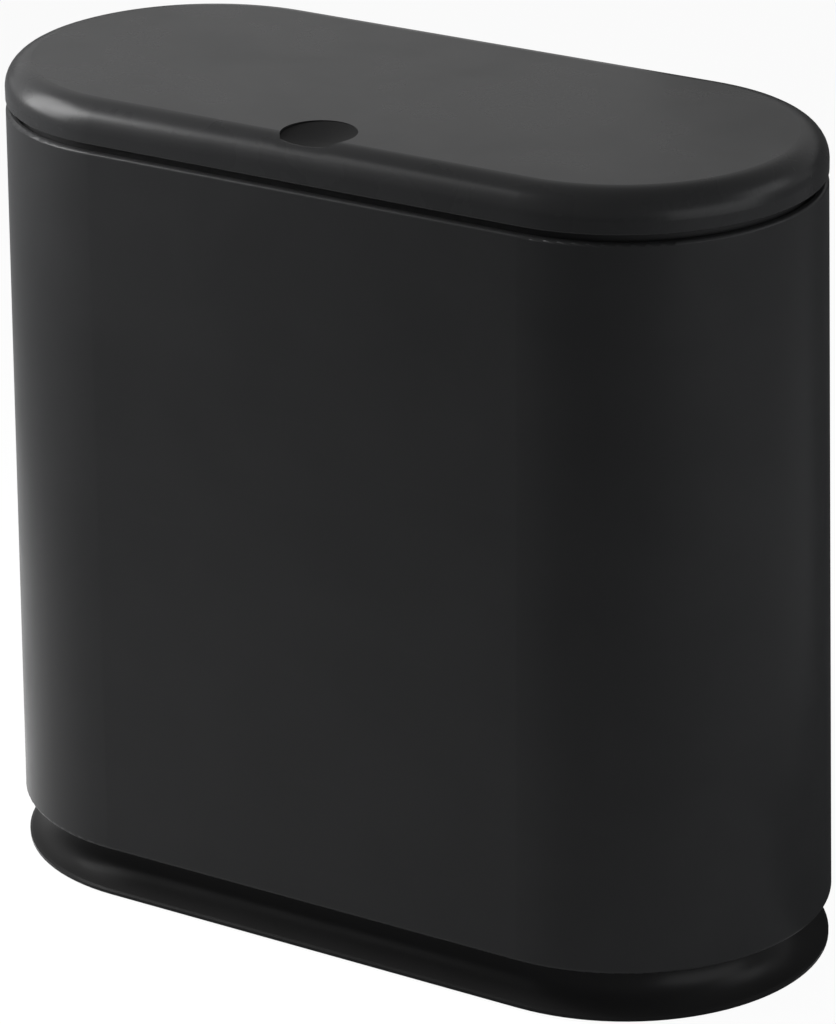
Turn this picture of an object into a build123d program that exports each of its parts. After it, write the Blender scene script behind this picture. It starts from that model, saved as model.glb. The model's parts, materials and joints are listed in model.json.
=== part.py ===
from build123d import *
import os
from math import cos, pi, sin, sqrt

# Slim waste bin with a stadium plan and a press-to-open lid.
# X runs along the wide side, Y from the front (minus) to the back (plus) and Z up. The origin is
# on the floor under the middle of the bin. Sizes are in millimetres.

# Plan and main heights
HALF_STRAIGHT = 91.4
RIM_RADIUS = 73.0
BODY_FLARE = 4.5
PLINTH_INSET = 0.8
PLINTH_HEIGHT = 19.0
FOOT_PROUD = 0.8
BODY_HEIGHT = 278.5
SEAM_GAP = 3.0
LID_HEIGHT = 15.0
FOOT_RADIUS = RIM_RADIUS + BODY_FLARE
PLINTH_RADIUS = FOOT_RADIUS - PLINTH_INSET
BODY_BOTTOM = FOOT_PROUD + PLINTH_HEIGHT
RIM_Z = BODY_BOTTOM + BODY_HEIGHT
LID_BOTTOM = RIM_Z + SEAM_GAP
LID_TOP = LID_BOTTOM + LID_HEIGHT

# Body shell
BODY_WALL = 2.4
BODY_FLOOR = 2.4
BODY_FOOT_ROUND = 2.0
RIM_ROUND = 1.3
FLOOR_ROUND = 4.0
LEDGE_DEPTH = 6.0
LEDGE_WIDTH = 2.0
LEDGE_THICKNESS = 1.5
LEDGE_Z = RIM_Z - LEDGE_DEPTH
FLOOR_TOP = BODY_BOTTOM + BODY_FLOOR
TAPER = BODY_FLARE / BODY_HEIGHT

# Plinth, its screws and its rubber feet
PLINTH_WALL = 2.4
LIP_WIDTH = 3.6
NECK_INSET = 13.0
LIP_HEIGHT = 1.7
LIP_EDGE = 1.0
BASE_SCREW_X = 70.0
BASE_FIXING_INSET = 38.7
BASE_BOSS_RADIUS = 4.0
BASE_BOSS_HEIGHT = 8.0
FOOT_X = 95.0
FOOT_PAD_RADIUS = 8.0
FOOT_PAD_SUNK = 1.0
FOOT_PILLAR_RADIUS = 9.5
BASE_FIXING_Y = PLINTH_RADIUS - BASE_FIXING_INSET

# Screws: self-tapping, pan headed
SCREW_RADIUS = 1.25
SCREW_HEAD_RADIUS = 2.6
SCREW_HEAD_HEIGHT = 1.4
SCREW_CLEARANCE = 0.25
THREAD_CLEARANCE = 0.05
SCREW_BOSS_RADIUS = 3.4
DRIVE_SLOT = 0.7

# Frame in the body's mouth
FRAME_CLEARANCE = 0.3
FLANGE_THICKNESS = 2.5
MOUTH_LEDGE = 3.9
COLLAR_GAP = 2.4
COLLAR_WALL = 2.0
COLLAR_RISE = 4.2
FRAME_SKIRT_WALL = 1.8
FRAME_SKIRT_DROP = 6.0
CLIP_X = 45.0
CLIP_WIDTH = 12.0
CLIP_HOOK = 1.0
FRAME_RADIUS = RIM_RADIUS - BODY_WALL - FRAME_CLEARANCE
FLANGE_TOP = LEDGE_Z + FLANGE_THICKNESS
COLLAR_TOP = LID_BOTTOM + COLLAR_RISE

# Lid
LID_WALL = 2.2
LID_SHOULDER = 10.3
LID_EDGE_ROUND = 0.6
COLLAR_RADIUS = RIM_RADIUS - LID_WALL - COLLAR_GAP
MOUTH_RADIUS = COLLAR_RADIUS - COLLAR_WALL - MOUTH_LEDGE
DISH_RADIUS = 14.0
DISH_DEPTH = 2.4
DISH_BOWL_REACH = 17.5
DISH_FORWARD = 2.5
DISH_INSET = 15.5
DISH_Y = -(RIM_RADIUS - DISH_INSET)

# Lid liner
LINER_INSET = 6.0
LINER_WALL = 1.8
LINER_STANDOFF = 3.6
LINER_PANEL_INSET = 19.0
LINER_PANEL_STEP = 1.2
LINER_TOP = LID_TOP - LID_WALL - LINER_STANDOFF
LINER_BOTTOM = LINER_TOP - LINER_WALL
LID_SCREW_INSET = 16.0
LID_SCREW_X = 70.0
LINER_RADIUS = RIM_RADIUS - LINER_INSET
LINER_PANEL_RADIUS = LINER_RADIUS - LINER_PANEL_INSET
LID_SCREW_RING = RIM_RADIUS - LID_SCREW_INSET

# Ring that holds the edge of the liner bag
RING_LIP = 1.5
RING_WALL = 1.6
RING_DROP = 9.4
RING_CLEARANCE = 0.4
RING_LIP_TOP = COLLAR_TOP + RING_LIP

# Latch bay at the front of the frame
BAY_HALF = 20.0
BAY_ROOM = 11.0
BAY_WALL = 1.8
BAY_GROWTH = 5.0
BAY_CORNER = 3.0
BAY_FLOOR_GAP = 1.6
LATCH_INSET = 13.5
LATCH_Y = -(RIM_RADIUS - LATCH_INSET)
BAY_BACK = LATCH_Y + BAY_ROOM

# Push latch
HOUSING_HALF_X = 9.0
HOUSING_HALF_Y = 6.5
HOUSING_WALL = 1.6
HOUSING_RISE = 0.8
JAW_HEADROOM = 3.0
EAR_REACH = 9.0
EAR_THICKNESS = 2.5
EAR_HALF_Y = 5.0
LATCH_SCREW_X = 14.0
LATCH_COVER_THICKNESS = 1.4
MOUTH_HALF_X = 4.2
MOUTH_HALF_Y = 3.4
SLIDER_CLEARANCE = 0.3
SLIDER_TRAVEL = 2.4
CAM_BLOCK_HEIGHT = 14.0
JAW_HEIGHT = 10.0
JAW_THICKNESS = 2.0
JAW_HOOK_HEIGHT = 2.6
LATCH_SPRING_LENGTH = 14.0
LATCH_SPRING_RADIUS = 3.4
LATCH_SPRING_WIRE = 0.7
LATCH_SPRING_TURNS = 6
HOUSING_TOP = LID_BOTTOM + HOUSING_RISE
CAM_BLOCK_TOP = HOUSING_TOP - JAW_HEADROOM - JAW_HEIGHT
SLIDER_BOTTOM = CAM_BLOCK_TOP - CAM_BLOCK_HEIGHT
HOUSING_FLOOR = SLIDER_BOTTOM - LATCH_SPRING_LENGTH
HOUSING_BOTTOM = HOUSING_FLOOR - HOUSING_WALL
SHROUD_BOTTOM = HOUSING_BOTTOM - BAY_FLOOR_GAP - BAY_WALL

# Heart-shaped cam on the slider's back, and the wire that follows it
HEART_HALF_WIDTH = 2.9
HEART_LENGTH = 6.6
HEART_NOTCH = 1.6
HEART_DROP = 3.8
TRACK_DEPTH = 1.6
TRACK_CLEARANCE = 0.15
CAM_WIRE_RADIUS = 0.6
CAM_SEAT = 0.35
CAM_TIP_GAP = 0.3
CAM_PIVOT_RISE = 11.0
CAM_WIRE_STANDOFF = 0.4
CLIP_BAND_RISE = 1.0
CLIP_SHELF_GAP = 0.2
CLIP_BAND_THICKNESS = 0.6
HEART_Z = CAM_BLOCK_TOP - HEART_DROP
CAM_REST_Z = HEART_Z - HEART_NOTCH + CAM_SEAT + 2 * CAM_WIRE_RADIUS
TRACK_WIDTH = CAM_REST_Z - HEART_Z + CAM_WIRE_RADIUS + SLIDER_TRAVEL + TRACK_CLEARANCE

# Striker under the lid
STRIKER_BASE_HALF_X = 10.0
STRIKER_BASE_HALF_Y = 4.5
STRIKER_BASE_THICKNESS = 2.3
STRIKER_SCREW_X = 6.6
STRIKER_STEM_HALF = 1.5
STRIKER_HEAD_HALF = 3.0
STRIKER_TIP_HALF = 1.0
STRIKER_HALF_Y = 2.5
STRIKER_HEAD_HEIGHT = 5.7
STRIKER_TIP_GAP = 0.3
STRIKER_JAW_GAP = 0.3

# Hinge
HINGE_X = 60.0
HINGE_INSET = 1.0
KNUCKLE_RADIUS = 3.2
HINGE_WIDTH = 30.0
FRAME_LUG_WIDTH = 3.7
LID_KNUCKLE_WIDTH = 4.0
HINGE_SIDE_GAP = 0.3
NOTCH_ROOM = 0.5
KNUCKLE_REACH = 2.2
KNUCKLE_BLEND = 5.4
PIN_RADIUS = 1.5
PIN_CLEARANCE = 0.05
PIN_HEAD_RADIUS = 2.3
PIN_HEAD = 0.8
PIN_HEAD_GAP = 0.4
HINGE_SPRING_RADIUS = 2.3
HINGE_SPRING_WIRE = 0.8
HINGE_SPRING_PITCH = 1.6
HINGE_SPRING_TURNS = 6
HINGE_SPRING_LEG_UP = 6.1
HINGE_SPRING_LEG_DOWN = 4.3
AXIS_Y = RIM_RADIUS - HINGE_INSET
AXIS_Z = RIM_Z + SEAM_GAP / 2


def outer_radius(height):
    """End radius of the body's outside at a height."""
    return RIM_RADIUS + TAPER * (RIM_Z - height)


def inner_radius(height):
    """End radius of the body's inside at a height."""
    return outer_radius(height) - BODY_WALL


def section(*corners):
    """Closed outline through (radius, height) corners. A third value rounds that corner."""
    outline = make_face(Polyline(*[corner[:2] for corner in corners], close=True))
    for corner in corners:
        if len(corner) == 3:
            vertex = outline.vertices().sort_by_distance((corner[0], corner[1], 0))[0]
            outline = fillet(vertex, corner[2])
    return outline


def around_plan(outline):
    """Carry an outline of radius and height all round the stadium plan."""
    front = Rot(0, 0, -90) * (Plane.XZ * outline)
    straight = extrude(Pos(-HALF_STRAIGHT, 0, 0) * front, amount=2 * HALF_STRAIGHT, dir=(1, 0, 0))
    end = Pos(HALF_STRAIGHT, 0, 0) * revolve(front, Axis.Z, 180)
    return straight + mirror(straight, Plane.XZ) + end + mirror(end, Plane.YZ)


def stadium(end_radius):
    """Flat stadium outline with ends of a given radius."""
    return SlotCenterToCenter(2 * HALF_STRAIGHT, 2 * end_radius)


def mouth_plan(end_radius, growth):
    """Stadium outline with the latch bay, grown by a margin, taken out of its front."""
    half = BAY_HALF + growth
    depth = end_radius + BAY_BACK + growth
    bay = Pos(0, -end_radius + depth / 2) * Rectangle(2 * half, depth)
    plan = stadium(end_radius) - bay
    corners = plan.vertices().filter_by_position(Axis.Y, -end_radius - 1, 0)
    corners = corners.filter_by_position(Axis.X, -half - 1, half + 1)
    return fillet(corners, BAY_CORNER + growth)


def plate(outline, low, high):
    """Flat piece of an outline between two heights."""
    return extrude(Pos(0, 0, low) * outline, amount=high - low)


def across(outline, low, high):
    """Piece of a depth and height outline between two places along the width."""
    return extrude(Plane.YZ.offset(low) * outline, amount=high - low)


def block(x_low, x_high, y_low, y_high, z_low, z_high):
    """Box between limits."""
    middle = Pos((x_low + x_high) / 2, (y_low + y_high) / 2, (z_low + z_high) / 2)
    return middle * Box(x_high - x_low, y_high - y_low, z_high - z_low)


def post(x, y, low, high, radius):
    """Upright cylinder between two heights."""
    return Pos(x, y, (low + high) / 2) * Cylinder(radius, high - low)


def four_corners(x, y):
    """The four places at plus and minus x and y."""
    return [(side * x, end * y) for side in (-1, 1) for end in (-1, 1)]


def screw(x, y, seat, length):
    """Pan-headed screw pointing up, its head under the seat height and crossed for a driver."""
    shank = post(x, y, seat, seat + length, SCREW_RADIUS)
    tip = chamfer(shank.edges().sort_by(Axis.Z)[-1], SCREW_RADIUS / 2)
    head = post(x, y, seat - SCREW_HEAD_HEIGHT, seat, SCREW_HEAD_RADIUS)
    head = fillet(head.edges().group_by(Axis.Z)[0], SCREW_HEAD_HEIGHT / 2)
    low = seat - SCREW_HEAD_HEIGHT
    reach = SCREW_HEAD_RADIUS * 0.6
    half = DRIVE_SLOT / 2
    cross = block(x - reach, x + reach, y - half, y + half, low, low + SCREW_HEAD_HEIGHT / 2)
    cross += block(x - half, x + half, y - reach, y + reach, low, low + SCREW_HEAD_HEIGHT / 2)
    return tip + head - cross


def screw_down(x, y, seat, length):
    """The same screw pointing down, its head above the seat height."""
    upright = screw(x, y, 0, length)
    return Pos(0, 0, seat) * mirror(upright, Plane.XY)


BASE_SCREW_PLACES = four_corners(BASE_SCREW_X, BASE_FIXING_Y)
FOOT_PLACES = four_corners(FOOT_X, BASE_FIXING_Y)
LID_SCREW_PLACES = four_corners(LID_SCREW_X, LID_SCREW_RING) + [
    (-HALF_STRAIGHT - LID_SCREW_RING, 0),
    (HALF_STRAIGHT + LID_SCREW_RING, 0),
]
BASE_SCREW_LENGTH = PLINTH_WALL + BODY_FLOOR + BASE_BOSS_HEIGHT - 2.0


def hinge_room(y_low, y_high, z_low, z_high):
    """The two gaps that the hinges stand in, between depth and height limits."""
    half = HINGE_WIDTH / 2 + PIN_HEAD + PIN_HEAD_GAP
    gaps = [
        block(side * HINGE_X - half, side * HINGE_X + half, y_low, y_high, z_low, z_high)
        for side in (-1, 1)
    ]
    return gaps[0] + gaps[1]


def outer_body():
    """Tapered wall and floor in one moulding, with the ledge that the frame rests on."""
    ledge = inner_radius(LEDGE_Z) - LEDGE_WIDTH
    ledge_low = LEDGE_Z - LEDGE_THICKNESS
    ledge_root = ledge_low - LEDGE_WIDTH
    shell = around_plan(section(
        (0, BODY_BOTTOM),
        (FOOT_RADIUS, BODY_BOTTOM, BODY_FOOT_ROUND),
        (RIM_RADIUS, RIM_Z, RIM_ROUND),
        (RIM_RADIUS - BODY_WALL, RIM_Z),
        (inner_radius(LEDGE_Z), LEDGE_Z),
        (ledge, LEDGE_Z),
        (ledge, ledge_low),
        (inner_radius(ledge_root), ledge_root),
        (inner_radius(FLOOR_TOP), FLOOR_TOP, FLOOR_ROUND),
        (0, FLOOR_TOP),
    ))
    for x, y in BASE_SCREW_PLACES:
        top = FLOOR_TOP + BASE_BOSS_HEIGHT
        shell += post(x, y, BODY_BOTTOM + BODY_FLOOR / 2, top, BASE_BOSS_RADIUS)
        shell -= post(x, y, BODY_BOTTOM, top - BODY_FLOOR / 2, SCREW_RADIUS + THREAD_CLEARANCE)
    low = AXIS_Z - KNUCKLE_RADIUS - NOTCH_ROOM
    return shell - hinge_room(COLLAR_RADIUS, FOOT_RADIUS + 1, low, RIM_Z + 1)


def base_plinth():
    """Flared foot: a flat top, a recessed neck and a cove that runs out to a thin lip."""
    neck = PLINTH_RADIUS - NECK_INSET
    inner_neck = neck - PLINTH_WALL
    inner_lip = PLINTH_RADIUS - LIP_WIDTH
    edge = PLINTH_RADIUS - LIP_EDGE
    top_under = BODY_BOTTOM - PLINTH_WALL
    lip_top = FOOT_PROUD + LIP_HEIGHT
    lip_middle = FOOT_PROUD + LIP_HEIGHT / 2
    down = (0, -1)
    outline = make_face([
        Line((0, top_under), (0, BODY_BOTTOM)),
        Line((0, BODY_BOTTOM), (neck, BODY_BOTTOM)),
        Line((neck, BODY_BOTTOM), (neck, top_under)),
        TangentArc((neck, top_under), (edge, lip_top), tangent=down),
        Line((edge, lip_top), (PLINTH_RADIUS, lip_top - LIP_EDGE / 2)),
        Line((PLINTH_RADIUS, lip_top - LIP_EDGE / 2), (PLINTH_RADIUS, FOOT_PROUD)),
        Line((PLINTH_RADIUS, FOOT_PROUD), (inner_lip, FOOT_PROUD)),
        Line((inner_lip, FOOT_PROUD), (inner_lip, lip_middle)),
        TangentArc((inner_neck, top_under), (inner_lip, lip_middle), tangent=down),
        Line((inner_neck, top_under), (0, top_under)),
    ])
    plinth = around_plan(outline)
    for x, y in FOOT_PLACES:
        plinth += post(x, y, FOOT_PROUD, top_under + PLINTH_WALL / 2, FOOT_PILLAR_RADIUS)
        plinth -= post(x, y, FOOT_PROUD, FOOT_PROUD + FOOT_PAD_SUNK, FOOT_PAD_RADIUS + 0.2)
    for x, y in BASE_SCREW_PLACES:
        plinth -= post(x, y, 0, BODY_BOTTOM + 1, SCREW_RADIUS + SCREW_CLEARANCE)
    return plinth


def base_screws():
    """Four screws from the plinth up into the body's floor."""
    seat = BODY_BOTTOM - PLINTH_WALL
    return [screw(x, y, seat, BASE_SCREW_LENGTH) for x, y in BASE_SCREW_PLACES]


def rubber_feet():
    """Four round pads in the plinth's pillars."""
    pads = []
    for x, y in FOOT_PLACES:
        pad = post(x, y, 0, FOOT_PROUD + FOOT_PAD_SUNK, FOOT_PAD_RADIUS)
        pads.append(fillet(pad.edges().group_by(Axis.Z)[0], FOOT_PROUD / 2))
    return pads


def hinge_places():
    """Low and high ends, from a hinge's middle, of the frame's lugs and the lid's knuckles."""
    lug = HINGE_WIDTH / 2 - FRAME_LUG_WIDTH
    knuckle = lug - HINGE_SIDE_GAP
    lugs = [(lug, HINGE_WIDTH / 2), (-HINGE_WIDTH / 2, -lug)]
    knuckles = [(knuckle - LID_KNUCKLE_WIDTH, knuckle), (-knuckle, LID_KNUCKLE_WIDTH - knuckle)]
    return lugs, knuckles


def hinge_bore(middle):
    """Bore for the pin through a whole hinge."""
    circle = Pos(AXIS_Y, AXIS_Z) * Circle(PIN_RADIUS + PIN_CLEARANCE)
    return across(circle, middle - HINGE_WIDTH, middle + HINGE_WIDTH)


def rim_frame():
    """Frame that snaps into the mouth and carries the hinge lugs and the latch bay."""
    collar = stadium(COLLAR_RADIUS) - stadium(COLLAR_RADIUS - COLLAR_WALL)
    mouth = mouth_plan(MOUTH_RADIUS, BAY_GROWTH)
    skirt_growth = BAY_GROWTH - FRAME_SKIRT_WALL
    skirt = mouth_plan(MOUTH_RADIUS + FRAME_SKIRT_WALL, skirt_growth) - mouth
    frame = plate(stadium(FRAME_RADIUS) - mouth, LEDGE_Z, FLANGE_TOP)
    frame += plate(collar, FLANGE_TOP, COLLAR_TOP)
    frame += plate(skirt, LEDGE_Z - FRAME_SKIRT_DROP, LEDGE_Z)
    frame += bay_block(0, SHROUD_BOTTOM)
    frame -= bay_block(BAY_WALL, SHROUD_BOTTOM + BAY_WALL)
    for side in (-1, 1):
        frame += latch_seat(side)
    for middle in (-HINGE_X, HINGE_X):
        for low, high in hinge_places()[0]:
            frame += frame_lug(middle + low, middle + high)
        frame -= hinge_bore(middle)
    for x in (-CLIP_X, CLIP_X):
        frame += snap_clip(x, 1)
        frame += snap_clip(x, -1)
    return frame


def bay_block(inset, low):
    """Upright block of the latch bay up to the collar's top, moved in by an inset."""
    half = BAY_HALF - inset
    front = -COLLAR_RADIUS + COLLAR_WALL - BAY_WALL + inset
    bay = block(-half, half, front, BAY_BACK - inset, low, COLLAR_TOP)
    return fillet(bay.edges().filter_by(Axis.Z).group_by(Axis.Y)[-1], BAY_CORNER - inset)


def latch_seat(side):
    """Shelf across one end of the latch bay that an ear of the latch stands on."""
    top = HOUSING_TOP - EAR_THICKNESS
    inner = HOUSING_HALF_X + FRAME_CLEARANCE
    outer = BAY_HALF - BAY_WALL / 2
    low, high = sorted((side * inner, side * outer))
    back = BAY_BACK - BAY_WALL / 2
    shelf = block(low, high, -COLLAR_RADIUS + COLLAR_WALL / 2, back, LEDGE_Z, top)
    hole = SCREW_RADIUS + THREAD_CLEARANCE
    return shelf - post(side * LATCH_SCREW_X, LATCH_Y, LEDGE_Z - 1, top + 1, hole)


def frame_lug(low, high):
    """Lug of the frame that holds an end of a hinge pin behind the collar."""
    arm = AXIS_Y - (COLLAR_RADIUS - COLLAR_WALL / 2)
    outline = Pos(AXIS_Y, AXIS_Z) * Circle(KNUCKLE_RADIUS)
    outline += Pos(AXIS_Y - arm / 2, AXIS_Z) * Rectangle(arm, 2 * KNUCKLE_RADIUS)
    return across(outline, low, high)


def snap_clip(x, side):
    """Tongue that hangs from the flange and hooks under the body's ledge."""
    face = inner_radius(LEDGE_Z) - LEDGE_WIDTH - FRAME_CLEARANCE
    hook_top = LEDGE_Z - LEDGE_THICKNESS - LEDGE_WIDTH
    low = hook_top - 3 * CLIP_HOOK
    outline = make_face(Polyline(
        (face - FRAME_SKIRT_WALL, LEDGE_Z + FLANGE_THICKNESS / 2),
        (face, LEDGE_Z + FLANGE_THICKNESS / 2),
        (face, hook_top),
        (face + CLIP_HOOK, hook_top - CLIP_HOOK),
        (face, low),
        (face - FRAME_SKIRT_WALL, low),
        close=True,
    ))
    clip = across(outline, x - CLIP_WIDTH / 2, x + CLIP_WIDTH / 2)
    if side < 0:
        return mirror(clip, Plane.XZ)
    return clip


def bag_ring():
    """Loose ring with a flat lip on the collar and a skirt inside it, stepped round the bay."""
    gap = RING_CLEARANCE
    skirt_radius = COLLAR_RADIUS - COLLAR_WALL - RING_CLEARANCE
    lip = mouth_plan(COLLAR_RADIUS, gap) - mouth_plan(MOUTH_RADIUS, BAY_GROWTH)
    inner = mouth_plan(skirt_radius - RING_WALL, gap + RING_WALL)
    skirt = mouth_plan(skirt_radius, gap) - inner
    ring = plate(lip, COLLAR_TOP, RING_LIP_TOP)
    return ring + plate(skirt, COLLAR_TOP - RING_DROP, COLLAR_TOP)


def lid_form(inset):
    """Solid of the lid's outside, moved in by an inset, with its rounded shoulder."""
    radius = RIM_RADIUS - inset
    top = LID_TOP - inset
    return around_plan(section(
        (0, LID_BOTTOM),
        (radius, LID_BOTTOM),
        (radius, top, LID_SHOULDER - inset),
        (0, top),
    ))


def finger_dish():
    """Room of the dish: a shallow bowl, lowest towards the front, inside a round edge."""
    bowl_radius = (DISH_BOWL_REACH ** 2 + DISH_DEPTH ** 2) / (2 * DISH_DEPTH)
    middle = LID_TOP - DISH_DEPTH + bowl_radius
    bowl = Pos(0, DISH_Y - DISH_FORWARD, middle) * Sphere(bowl_radius)
    return bowl & post(0, DISH_Y, LID_TOP - 2 * DISH_DEPTH, LID_TOP + DISH_DEPTH, DISH_RADIUS)


def lid_shell():
    """One-piece lid: rounded shoulder, finger dish, screw bosses and four rear knuckles."""
    lid = around_plan(section(
        (0, LID_TOP),
        (RIM_RADIUS, LID_TOP, LID_SHOULDER),
        (RIM_RADIUS, LID_BOTTOM, LID_EDGE_ROUND),
        (RIM_RADIUS - LID_WALL, LID_BOTTOM),
        (RIM_RADIUS - LID_WALL, LID_TOP - LID_WALL, LID_SHOULDER - LID_WALL),
        (0, LID_TOP - LID_WALL),
    ))
    pad_low = LID_TOP - DISH_DEPTH - LID_WALL
    pad = post(0, DISH_Y, pad_low, LID_TOP, DISH_RADIUS + LID_WALL)
    lid += pad & lid_form(0)
    lid -= finger_dish()
    for x, y in LID_SCREW_PLACES:
        lid += post(x, y, LINER_TOP, LID_TOP - LID_WALL / 2, SCREW_BOSS_RADIUS)
        lid -= post(x, y, LINER_TOP, LID_TOP - LID_WALL, SCREW_RADIUS + THREAD_CLEARANCE)
    top = AXIS_Z + KNUCKLE_RADIUS + NOTCH_ROOM
    lid -= hinge_room(COLLAR_RADIUS, FOOT_RADIUS, LID_BOTTOM - 1, top)
    for middle in (-HINGE_X, HINGE_X):
        for low, high in hinge_places()[1]:
            lid += lid_knuckle(middle + low, middle + high)
        lid -= hinge_bore(middle)
    return lid


def lid_knuckle(low, high):
    """Knuckle that hangs from the lid's rear wall and turns on the pin."""
    back = AXIS_Y + KNUCKLE_RADIUS
    outline = Pos(AXIS_Y, AXIS_Z) * Circle(KNUCKLE_RADIUS)
    outline += make_face(Polyline(
        (AXIS_Y - KNUCKLE_REACH, AXIS_Z),
        (back, AXIS_Z),
        (back, AXIS_Z + PIN_RADIUS),
        (RIM_RADIUS, AXIS_Z + KNUCKLE_BLEND),
        (AXIS_Y - KNUCKLE_REACH, AXIS_Z + KNUCKLE_BLEND),
        close=True,
    ))
    return across(outline, low, high)


def lid_liner():
    """Inner cover of the lid, with a raised panel, screw holes and the striker's bosses."""
    step = LINER_PANEL_STEP
    liner = around_plan(section(
        (0, LINER_TOP - step),
        (LINER_PANEL_RADIUS, LINER_TOP - step),
        (LINER_PANEL_RADIUS + step, LINER_TOP),
        (LINER_RADIUS, LINER_TOP, LINER_WALL / 3),
        (LINER_RADIUS, LINER_BOTTOM),
        (LINER_PANEL_RADIUS + step, LINER_BOTTOM),
        (LINER_PANEL_RADIUS, LINER_BOTTOM - step),
        (0, LINER_BOTTOM - step),
    ))
    for x in (-STRIKER_SCREW_X, STRIKER_SCREW_X):
        boss_top = LINER_TOP + LINER_PANEL_STEP
        liner += post(x, LATCH_Y, LINER_TOP - LINER_WALL / 2, boss_top, SCREW_BOSS_RADIUS)
        liner -= post(x, LATCH_Y, LINER_BOTTOM, boss_top, SCREW_RADIUS + THREAD_CLEARANCE)
    for x, y in LID_SCREW_PLACES:
        liner -= post(x, y, LINER_BOTTOM - 1, LINER_TOP + 1, SCREW_RADIUS + SCREW_CLEARANCE)
    return liner


def lid_screws():
    """Six screws that hold the liner to the lid's bosses."""
    length = LINER_WALL + LINER_STANDOFF - SCREW_RADIUS / 2
    return [screw(x, y, LINER_BOTTOM, length) for x, y in LID_SCREW_PLACES]


def lid_striker():
    """Arrow-headed catch on a foot that is screwed under the liner."""
    base_low = LINER_BOTTOM - STRIKER_BASE_THICKNESS
    base = block(
        -STRIKER_BASE_HALF_X, STRIKER_BASE_HALF_X,
        LATCH_Y - STRIKER_BASE_HALF_Y, LATCH_Y + STRIKER_BASE_HALF_Y,
        base_low, LINER_BOTTOM,
    )
    base = fillet(base.edges().filter_by(Axis.Z), STRIKER_BASE_HALF_Y / 3)
    tip = CAM_BLOCK_TOP + STRIKER_TIP_GAP
    shoulder = tip + STRIKER_HEAD_HEIGHT
    arrow = make_face(Polyline(
        (-STRIKER_STEM_HALF, base_low + 1),
        (-STRIKER_STEM_HALF, shoulder),
        (-STRIKER_HEAD_HALF, shoulder),
        (-STRIKER_HEAD_HALF, shoulder - STRIKER_HEAD_HALF / 3),
        (-STRIKER_TIP_HALF, tip),
        (STRIKER_TIP_HALF, tip),
        (STRIKER_HEAD_HALF, shoulder - STRIKER_HEAD_HALF / 3),
        (STRIKER_HEAD_HALF, shoulder),
        (STRIKER_STEM_HALF, shoulder),
        (STRIKER_STEM_HALF, base_low + 1),
        close=True,
    ))
    stem = extrude(Plane.XZ.offset(-LATCH_Y) * arrow, amount=STRIKER_HALF_Y, both=True)
    striker = base + stem
    for x in (-STRIKER_SCREW_X, STRIKER_SCREW_X):
        striker -= post(x, LATCH_Y, base_low - 1, LINER_BOTTOM + 1, SCREW_RADIUS + SCREW_CLEARANCE)
    return striker


def striker_screws():
    """Two screws that hold the striker to the liner."""
    seat = LINER_BOTTOM - STRIKER_BASE_THICKNESS
    length = STRIKER_BASE_THICKNESS + LINER_WALL + LINER_PANEL_STEP / 2
    return [screw(x, LATCH_Y, seat, length) for x in (-STRIKER_SCREW_X, STRIKER_SCREW_X)]


def hinge_pin(side):
    """Steel pin through one hinge, with its head on the outer side."""
    shank_end = side * (HINGE_X - HINGE_WIDTH / 2)
    head_seat = side * (HINGE_X + HINGE_WIDTH / 2)
    head_end = head_seat + side * PIN_HEAD
    place = Pos(AXIS_Y, AXIS_Z)
    pin = across(place * Circle(PIN_RADIUS), *sorted((shank_end, head_end)))
    return pin + across(place * Circle(PIN_HEAD_RADIUS), *sorted((head_seat, head_end)))


def biarc(start, start_way, end, end_way):
    """Two tangent arcs between two points with given directions."""
    chord = end - start
    ways = start_way + end_way
    spread = 2 * (1 - start_way.dot(end_way))
    along = chord.dot(ways)
    reach = (sqrt(along ** 2 + spread * chord.dot(chord)) - along) / spread
    leave = start + start_way * reach
    arrive = end - end_way * reach
    middle = (leave + arrive) / 2
    first = TangentArc(start, middle, tangent=start_way)
    second = TangentArc(middle, end, tangent=arrive - leave)
    return [first, second]


def coil_stations(radius, pitch, turns):
    """Points and directions of a coil round the X axis, a quarter turn apart."""
    stations = []
    for quarter in range(4 * turns + 1):
        angle = quarter * pi / 2
        point = Vector(pitch * quarter / 4, -radius * cos(angle), radius * sin(angle))
        way = Vector(pitch / (2 * pi), radius * sin(angle), radius * cos(angle)).normalized()
        stations.append((point, way))
    return stations


def print_least_gap(name, radius, pitch, turns, wire):
    """Measure on points how near a coil comes to itself, and print it."""
    steps = 24
    points = []
    for step in range(turns * steps + 1):
        angle = 2 * pi * step / steps
        points.append(Vector(pitch * step / steps, -radius * cos(angle), radius * sin(angle)))
    least = min(
        (points[high] - points[low]).length - wire
        for low in range(len(points))
        for high in range(low + steps // 2, len(points))
    )
    print(name, "least gap between turns", round(least, 2), "mm")


def coil_path(stations):
    """Tangent arcs through the stations of a coil."""
    arcs = []
    for (start, start_way), (end, end_way) in zip(stations, stations[1:]):
        arcs += biarc(start, start_way, end, end_way)
    return arcs


def hinge_spring(side):
    """Torsion spring on the pin, one leg up behind the lid's wall and one down on the frame."""
    pitch = HINGE_SPRING_PITCH
    half = pitch * HINGE_SPRING_TURNS / 2
    upward = Vector(0, 0, 1)
    stations = coil_stations(HINGE_SPRING_RADIUS, pitch, HINGE_SPRING_TURNS)
    stations[0] = (stations[0][0], upward)
    stations[-1] = (stations[-1][0], upward)
    first = stations[0][0]
    last = stations[-1][0]
    foot = first - upward * HINGE_SPRING_LEG_DOWN
    tip = last + upward * HINGE_SPRING_LEG_UP
    path = Wire([Line(foot, first)] + coil_path(stations) + [Line(last, tip)])
    wire = sweep(Plane(foot, z_dir=upward) * Circle(HINGE_SPRING_WIRE / 2), path)
    return Pos(side * HINGE_X - half, AXIS_Y, AXIS_Z) * wire


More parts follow.
